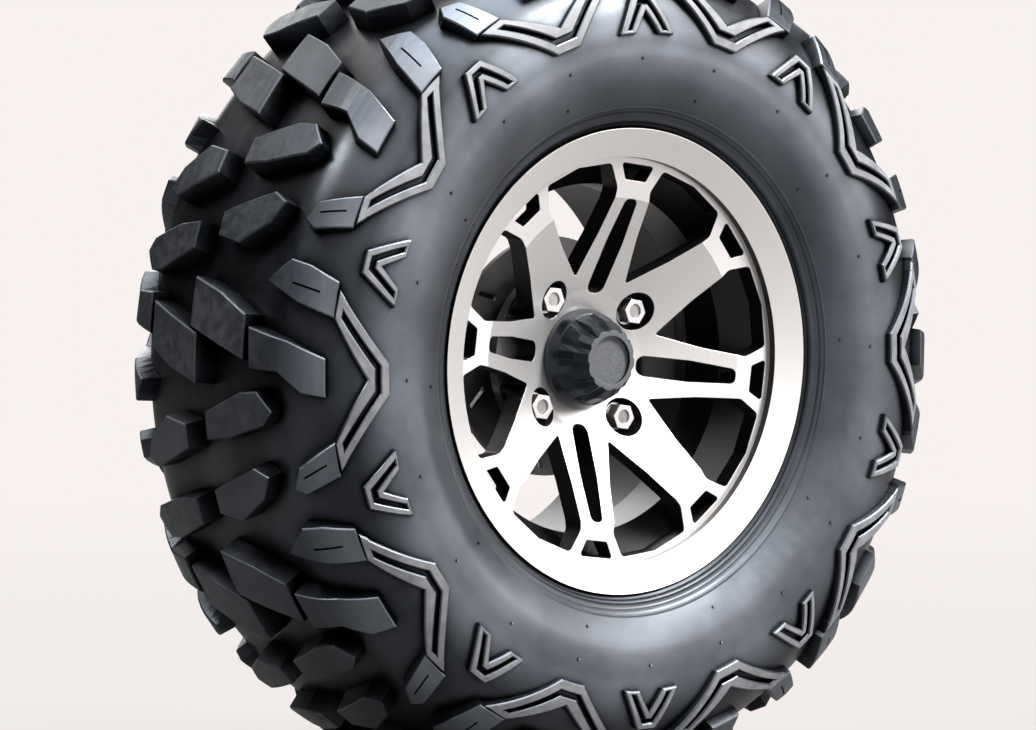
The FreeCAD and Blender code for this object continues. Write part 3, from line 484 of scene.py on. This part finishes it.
# Width of a lug's rounded edge, at most this share of its height, and the middle of the rounding as shares
# of that width, across and down
LUG_EDGE = 1.1
LUG_EDGE_SHARE = 0.3
EDGE_MIDDLE = (0.45, 0.35)
# How much wider a lug is at its foot if it is this high or higher; a lower one widens less
LUG_DRAFT = 1.6
FULL_DRAFT_HEIGHT = 12
# Distance between points along a lug's sides, and how high its foot lies, as a share of its height
LUG_SPACING = 7.0
LUG_ROOT = -0.25
SLOT_DEPTH = 2.5


def add_lug(built, outline, places, high=1.0, slot=None, finish=0):
    # outline: (angle, distance) corners of the top; places: (turn to add, whether it is on the inner half);
    # slot: corners of a narrow groove in the top; finish: material index of the top
    middle = sum(distance for _, distance in outline) / len(outline)
    point, _, height = section_at(middle)
    per_degree = math.radians(1) * point.x
    flat = [Vector((angle * per_degree, distance)) for angle, distance in outline]
    area = sum(a.x * b.y - b.x * a.y for a, b in zip(flat, flat[1:] + flat[:1]))
    if area < 0:
        flat.reverse()
    flat = split_sides(flat, LUG_SPACING)
    edge = min(LUG_EDGE, height * LUG_EDGE_SHARE)
    across, down = EDGE_MIDDLE
    rings = [
        (inset(flat, -LUG_DRAFT * min(1, height / FULL_DRAFT_HEIGHT)), LUG_ROOT),
        (flat, high - edge / max(height, 1)),
        (inset(flat, edge * across), high - edge * down / max(height, 1)),
        (inset(flat, edge), high),
    ]
    loops = [rings[-1][0]]
    if slot:
        sunk = split_sides([Vector((angle * per_degree, distance)) for angle, distance in slot], LUG_SPACING)
        loops.append(sunk)
        rings.append((sunk, high))
        rings.append((sunk, high - SLOT_DEPTH / height))
    triangles = tessellate_polygon([[Vector((p.x, p.y, 0)) for p in loop] for loop in loops])
    for turn, inner in places:
        layers = []
        for points, lift in rings:
            layer = []
            for p in points:
                angle, distance = p.x / per_degree, p.y
                if inner:
                    angle, distance = INNER_SHIFT - angle, SECTION_LENGTH - distance
                layer.append(built.verts.new(tread_point(turn + angle, distance, lift)))
            layers.append(layer)
        top = layers[3] + (layers[4] if slot else [])
        walls = list(zip(layers[:3], layers[1:4])) + list(zip(layers[4:5], layers[5:6]))
        for lower, upper in walls:
            for index in range(len(lower)):
                after = (index + 1) % len(lower)
                built.faces.new((lower[index], lower[after], upper[after], upper[index]))
        for first, second, third in triangles:
            built.faces.new((top[first], top[second], top[third])).material_index = finish
        built.faces.new(list(reversed(layers[0])))
        if slot:
            built.faces.new(layers[5])


def whole(half):
    # Joins a half outline and its mirror image
    return half + [(-angle, distance) for angle, distance in reversed(half) if angle > 0]


# Heights of a groove's floor and of the ridges round it, as shares of the lug height
FLOOR_HIGH = 0.1
RIDGE_HIGH = 1.0
# Outlines of one pitch of the tread: degrees from the middle line of the chevron or hook, millimetres from
# the rim. Both are double ridges round a groove, whose floor is a lower lug under the two; a half outline
# starts and ends on the middle line, and the caps close the ends of the groove.
CHEVRON = [
    ([(0, 70), (2.6, 70), (13.3, 113), (9.0, 114), (0, 87.2)], FLOOR_HIGH),
    ([(0, 70), (2.6, 70), (13.3, 113), (11.4, 113.4), (2.2, 77.5), (0, 77.5)], RIDGE_HIGH),
    ([(0, 81.5), (1.8, 81.5), (10.5, 113.6), (9.0, 114), (0, 87.2)], RIDGE_HIGH),
]
CHEVRON_CAP = [(12.0, 107.6), (13.3, 113), (9.0, 114), (7.4, 109.0)]
HOOK = [
    ([(0, 87), (2.6, 71), (5.9, 71), (1.8, 100), (0, 100)], FLOOR_HIGH),
    ([(0, 95.2), (1.0, 95.2), (4.6, 71), (5.9, 71), (1.8, 100), (0, 100)], RIDGE_HIGH),
    ([(0, 86.3), (2.5, 71), (3.8, 71), (0.6, 91.8), (0, 91.8)], RIDGE_HIGH),
]
HOOK_CAP = [(2.6, 70), (5.9, 70), (5.55, 73), (2.3, 73)]
HOOK_MIDDLE = 18
# Shoulder lugs, each with the slot in its top
SHOULDERS = [
    ([(-14.2, 114), (-9.0, 114), (-10.5, 140), (-13.0, 167), (-16.2, 150), (-15.8, 135)],
     [(-12.5, 126), (-12.2, 126), (-12.9, 146), (-13.2, 146)]),
    ([(8.8, 114), (13.8, 114), (15.4, 140), (14.4, 148), (11.6, 142)],
     [(11.6, 122), (11.9, 122), (13.2, 139), (12.9, 139)]),
]
# Blocks from the shoulder to the crown's middle
BLOCKS = [
    [(-3.2, 118), (2.3, 118), (1.6, 135), (-1.2, 152), (-1.5, 177), (-6.9, 179), (-5.4, 145)],
    [(-8.4, 183), (-2.6, 183), (-6.4, 241), (-12.8, 241), (-11.0, 210)],
    [(4.0, 157), (1.4, 170), (1.6, 186), (4.4, 224), (8.0, 224), (7.6, 200), (5.8, 166)],
    [(12.6, 167), (11.4, 180), (14.6, 226), (17.8, 226), (18.6, 202), (15.6, 176)],
]


def lugs_mesh(mesh):
    built = bmesh.new()
    pitch = 360 / PITCHES
    places = [(FIRST_APEX + pitch * step, inner) for step in range(PITCHES) for inner in (False, True)]
    for forms, cap, middle in ((CHEVRON, CHEVRON_CAP, 0), (HOOK, HOOK_CAP, HOOK_MIDDLE)):
        # The ridges' tops, and the caps below, take the second material: a lighter grey that is a painted
        # highlight
        for half, high in forms:
            outline = [(angle + middle, distance) for angle, distance in whole(half)]
            add_lug(built, outline, places, high=high, finish=int(high == RIDGE_HIGH))
        for side in (1, -1):
            add_lug(built, [(angle * side + middle, distance) for angle, distance in cap], places, finish=1)
    for outline, slot in SHOULDERS:
        add_lug(built, outline, places, slot=slot)
    for outline in BLOCKS:
        add_lug(built, outline, places)
    close_mesh(built, mesh)


# Small trim


def add_rod(built, centre, axis, radius, length, sides):
    # A closed prism or rod from its foot along an axis, millimetres from the wheel's centre
    turn = UP.rotation_difference(axis).to_matrix().to_4x4()
    place = Matrix.Translation(WHEEL_CENTRE + (centre + axis * length / 2) * MM) @ turn
    bmesh.ops.create_cone(built, cap_ends=True, segments=sides, radius1=radius * MM, radius2=radius * MM,
                          depth=length * MM, matrix=place)


# Radius, length and number of sides of a disc screw's head, its stepped top and the hexagon in its middle
SCREW_STEPS = [(5.0, 1.2, 24), (3.8, 1.9, 24), (2.0, 2.2, 6)]
SCREW_COUNT = 4
SCREW_PLACE_RADIUS = 35
DISC_BACK = -5.5


def screws_mesh(mesh):
    # Heads of the screws that hold the disc to the hub
    built = bmesh.new()
    for index in range(SCREW_COUNT):
        angle = math.radians(360 / SCREW_COUNT * index + WHEEL_TURN)
        across, up = math.cos(angle) * SCREW_PLACE_RADIUS, math.sin(angle) * SCREW_PLACE_RADIUS
        centre = Vector((across, DISC_BACK, up))
        for radius, length, sides in SCREW_STEPS:
            add_rod(built, centre, INWARD, radius, length, sides)
    close_mesh(built, mesh)


# Rise over the foot, radius, length and number of sides of the nipple's hexagon, its stem and its dust cap
NIPPLE_STEPS = [(0, 4.6, 4.5, 6), (0, 2.6, 8, 24), (7, 3.6, 7, 24)]
NIPPLE_FOOT = Vector((88, 17, 30.5))


def nipple_mesh(mesh):
    # Bleed nipple on the caliper's upper end, with its dust cap
    built = bmesh.new()
    for rise, radius, length, sides in NIPPLE_STEPS:
        add_rod(built, NIPPLE_FOOT + UP * rise, UP, radius, length, sides)
    close_mesh(built, mesh)


# Radius and rise over the housing's face of the seal's corners
SEAL_PROFILE = [(21.2, 0), (21.2, 2.0), (23.0, 2.0), (24.0, 1.0), (35.5, 1.0), (35.5, 0)]
SEAL_FACE = 38
SEAL_TURNS = 96


def seal_mesh(mesh):
    # Seal ring that closes the bearing's inboard side, with a raised lip by the journal. It stays with the
    # knuckle, so the wheel's own turn is taken out.
    built = bmesh.new()
    profile = [(radius, -(SEAL_FACE + rise)) for radius, rise in SEAL_PROFILE]
    revolve(built, profile, SEAL_TURNS, start=-WHEEL_TURN)
    close_mesh(built, mesh)


# Distance from the rim and number in a turn of each ring of moulding nubs, and a nub's own size
NUB_RINGS = [(26, 10), (52, 20)]
NUB_START = 0.3
NUB_STAGGER = 0.2
NUB_RADIUS = 0.9
NUB_LENGTH = 1.5
NUB_ROOT = 0.4
NUB_SIDES = 8


def nubs_mesh(mesh):
    # Moulding nubs left on both sidewalls
    built = bmesh.new()
    for ring, (along, count) in enumerate(NUB_RINGS):
        for index in range(count):
            angle = 360 / count * (index + NUB_START + NUB_STAGGER * ring)
            for distance in (along, SECTION_LENGTH - along):
                point, normal, height = section_at(distance)
                foot = wheel_point(angle, point.x, point.y)
                axis = (wheel_point(angle, point.x + normal.x, point.y + normal.y) - foot).normalized()
                base = (foot - WHEEL_CENTRE) / MM - axis * (height + NUB_ROOT)
                add_rod(built, base, axis, NUB_RADIUS, NUB_LENGTH, NUB_SIDES)
    close_mesh(built, mesh)


def add_piece(name, build, body, materials, replaces=None):
    mesh = bpy.data.meshes.new(name)
    build(mesh)
    for material in materials:
        mesh.materials.append(material)
    thing = bpy.data.objects.new(name, mesh)
    bpy.context.scene.collection.objects.link(thing)
    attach(thing, body)
    if replaces:
        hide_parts(replaces)


# Stage and light

FLOOR_NEAR = (0.21, 0.2, 0.196)
FLOOR_MOTTLE = 0.97
FLOOR_GAP = 0.0005
FLOOR_REACH = 40
BACKDROP = (0.935, 0.88, 0.865)
# Share of the backdrop's tone that the camera sees in the near floor, and where the floor fades into it
BACKDROP_SHARE = 0.8
FLOOR_BLEND = (0.6, 2.6)
# How bright the far ground shows in reflections, in front of the wheel and behind it, and the Y between
FRONT_GLOSS = 1.05
REAR_GLOSS = 0.2
FRONT_TO_REAR = (-0.5, 1)


def make_stage():
    # Ground that takes the shadow near the wheel; the camera and reflections see it pale and fading into the
    # backdrop's tone further away
    nodes = Material("floor")
    near_tones = (tuple(value * FLOOR_MOTTLE for value in FLOOR_NEAR), FLOOR_NEAR)
    near = nodes.ramp(nodes.noise(scale=3, detail=5), TONE_RANGE, near_tones)
    nodes.set(Base_Color=near, Roughness=0.85)
    radius, place = wheel_radius(nodes, "Y")
    path = nodes.add("ShaderNodeLightPath").outputs
    far_gloss = nodes.span(place["Y"], FRONT_TO_REAR, (FRONT_GLOSS, REAR_GLOSS))
    glow = nodes.add("ShaderNodeEmission")
    brightness = nodes.math("MAXIMUM", path["Is Camera Ray"], far_gloss)
    nodes.fill(glow, Color=(*BACKDROP, 1), Strength=brightness)
    fade = nodes.span(radius, FLOOR_BLEND, (0, 1), smooth=True)
    near_share = nodes.math("MULTIPLY", path["Is Camera Ray"], BACKDROP_SHARE)
    seen = nodes.math("MAXIMUM", path["Is Camera Ray"], path["Is Glossy Ray"])
    rest = nodes.math("MULTIPLY", nodes.math("SUBTRACT", seen, near_share), fade)
    mix = nodes.add("ShaderNodeMixShader")
    nodes.fill(mix, Fac=nodes.math("ADD", near_share, rest))
    nodes.put(nodes.shader.outputs[0], mix.inputs[1])
    nodes.put(glow.outputs[0], mix.inputs[2])
    nodes.fill(nodes.tree.nodes["Material Output"], Surface=mix.outputs[0])
    mesh = bpy.data.meshes.new("floor")
    height = WHEEL_CENTRE.z - CROWN_RADIUS * MM - FLOOR_GAP
    corners = [(-1, -1), (1, -1), (1, 1), (-1, 1)]
    mesh.from_pydata([(x * FLOOR_REACH, y * FLOOR_REACH, height) for x, y in corners], [], [(0, 1, 2, 3)])
    mesh.materials.append(nodes.material)
    floor = bpy.data.objects.new("floor", mesh)
    bpy.context.scene.collection.objects.link(floor)


# The world lights evenly. What shows in reflections is bright in front and dark behind, on the right and on
# the far left. It grows brighter with height, and has a soft white panel in front on the right and a bright
# ceiling.
WORLD_STRENGTH = 0.13
GLOSS_DIRECTION = (0.6, 1, 0)
GLOSS_EDGE = (-1.0, 0.15)
GLOSS_LEVELS = (1.5, 0.1)
LEFT_EDGE = (-0.85, -0.3)
LEFT_LEVELS = (0.3, 1)
HEIGHT_EDGE = (-0.1, 0.5)
HEIGHT_LEVELS = (0.4, 1.4)
PANEL_DIRECTION = (0.66, -0.6, 0.44)
PANEL_EDGE = (0.86, 0.97)
PANEL_LEVELS = (0, 4.5)
CEILING_EDGE = (0.45, 0.85)
CEILING_LEVELS = (0, 3.2)


def make_world():
    world = bpy.data.worlds.new("world")
    bpy.context.scene.world = world
    world.use_nodes = True
    nodes = Tree(world.node_tree)
    direction = nodes.coordinates["Generated"]
    parts = nodes.split(direction)
    facing = nodes.vector("DOT_PRODUCT", direction, GLOSS_DIRECTION)
    front = nodes.span(facing, GLOSS_EDGE, GLOSS_LEVELS, smooth=True)
    left = nodes.span(parts["X"], LEFT_EDGE, LEFT_LEVELS, smooth=True)
    height = nodes.span(parts["Z"], HEIGHT_EDGE, HEIGHT_LEVELS, smooth=True)
    around = nodes.math("MULTIPLY", nodes.math("MULTIPLY", front, left), height)
    to_panel = nodes.vector("DOT_PRODUCT", direction, PANEL_DIRECTION)
    panel = nodes.span(to_panel, PANEL_EDGE, PANEL_LEVELS, smooth=True)
    ceiling = nodes.span(parts["Z"], CEILING_EDGE, CEILING_LEVELS, smooth=True)
    reflected = nodes.math("ADD", around, nodes.math("ADD", panel, ceiling))
    path = nodes.add("ShaderNodeLightPath").outputs
    plain = nodes.span(path["Is Camera Ray"], (0, 1), (WORLD_STRENGTH, 1))
    nodes.fill(nodes.tree.nodes["Background"], Color=(*BACKDROP, 1),
               Strength=nodes.mix("FLOAT", path["Is Glossy Ray"], plain, reflected))


# Place, side, power and colour of each square lamp; all aim at the wheel's centre
LAMPS = {
    "key": ((1.7, -2.0, 2.9), 1.3, 290, (1, 0.98, 0.95)),
    "sky": ((0.2, -0.3, 3.6), 2.4, 120, (0.84, 0.92, 1)),
    "fill": ((1.5, 2.6, 1.5), 2.0, 50, (1, 1, 1)),
    "left": ((-2.3, 0.2, 2.7), 0.7, 70, (1, 0.98, 0.95)),
}


def make_lamps():
    for name, (place, side, power, colour) in LAMPS.items():
        data = bpy.data.lights.new(name, "AREA")
        data.size = side
        data.energy = power
        data.color = colour
        lamp = bpy.data.objects.new(name, data)
        lamp.location = place
        lamp.rotation_euler = (WHEEL_CENTRE - Vector(place)).to_track_quat("-Z", "Y").to_euler()
        bpy.context.scene.collection.objects.link(lamp)


# Two tones, roughness from and to, scale of the mottle, bump, metallic, and the edges' rounding in metres
PLAIN_MATERIALS = {
    # The ridge tops and the groove caps are a lighter grey than the rest of the tyre: a painted highlight
    "ridge_painted_highlight": (((0.19, 0.197, 0.216), (0.31, 0.318, 0.342)), (0.4, 0.55), 90, 0.5, 0, 0),
    "valve_plastic": ((grey(0.012), grey(0.02)), (0.35, 0.5), 60, 0.3, 0, 0.0004),
    "chrome": ((grey(0.9), grey(0.98)), (0.12, 0.22), 60, 0.1, 0.85, 0.0009),
    "steel": ((grey(0.3), grey(0.4)), (0.3, 0.45), 50, 0.3, 1, 0.0005),
    # The disc's steel is darker than bright steel: painted shade from inside the barrel
    "disc_steel": ((grey(0.18), grey(0.24)), (0.4, 0.55), 50, 0.3, 1, 0.0005),
    "zinc": ((grey(0.5), grey(0.6)), (0.25, 0.4), 50, 0.2, 1, 0.0004),
    "painted_casting": ((grey(0.04), grey(0.065)), (0.4, 0.6), 60, 0.8, 0, 0.001),
    "soft_rubber": ((grey(0.012), grey(0.018)), (0.55, 0.7), 60, 0.3, 0, 0),
    "pad_lining": (((0.05, 0.045, 0.04), (0.09, 0.08, 0.07)), (0.7, 0.85), 200, 1.0, 0, 0),
}
# The material of each CAD piece, by the start of its name
FINISHES = {
    "alloy_rim": "machined_alloy", "centre_cap": "cap_plastic", "valve_cap": "valve_plastic",
    "valve_stem": "soft_rubber", "lug_nut": "chrome", "wheel_hub": "steel", "brake_disc": "disc_steel",
    "wheel_bearing": "steel", "knuckle": "painted_casting", "caliper_body": "painted_casting",
    "caliper_bolt": "zinc", "brake_pad": "pad_lining",
}


make_camera()
materials = {name: plain_material(name, *values) for name, values in PLAIN_MATERIALS.items()}
materials["machined_alloy"] = alloy_material()
materials["cap_plastic"] = cap_material()
# The carcass's rubber between the lugs is darkened into the shoulder as painted shade
carcass_rubber = tyre_material("carcass_rubber", sheen_edge=0.262, groove_shade=0.3)
lug_rubber = tyre_material("lug_rubber", sheen_edge=0.306, groove_shade=1)
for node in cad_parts:
    for start, finish in FINISHES.items():
        if node.startswith(start):
            clothe(node, materials[finish])
add_piece("tyre_carcass", carcass_mesh, "wheel", [carcass_rubber], replaces="tyre")
add_piece("tyre_lugs", lugs_mesh, "wheel", [lug_rubber, materials["ridge_painted_highlight"]])
add_piece("moulding_nubs", nubs_mesh, "wheel", [carcass_rubber])
add_piece("disc_screws", screws_mesh, "wheel", [materials["zinc"]])
add_piece("bleed_nipple", nipple_mesh, "knuckle", [materials["soft_rubber"]])
add_piece("bearing_seal", seal_mesh, "knuckle", [materials["soft_rubber"]])
make_stage()
make_world()
make_lamps()
bpy.context.scene.view_settings.view_transform = "Standard"
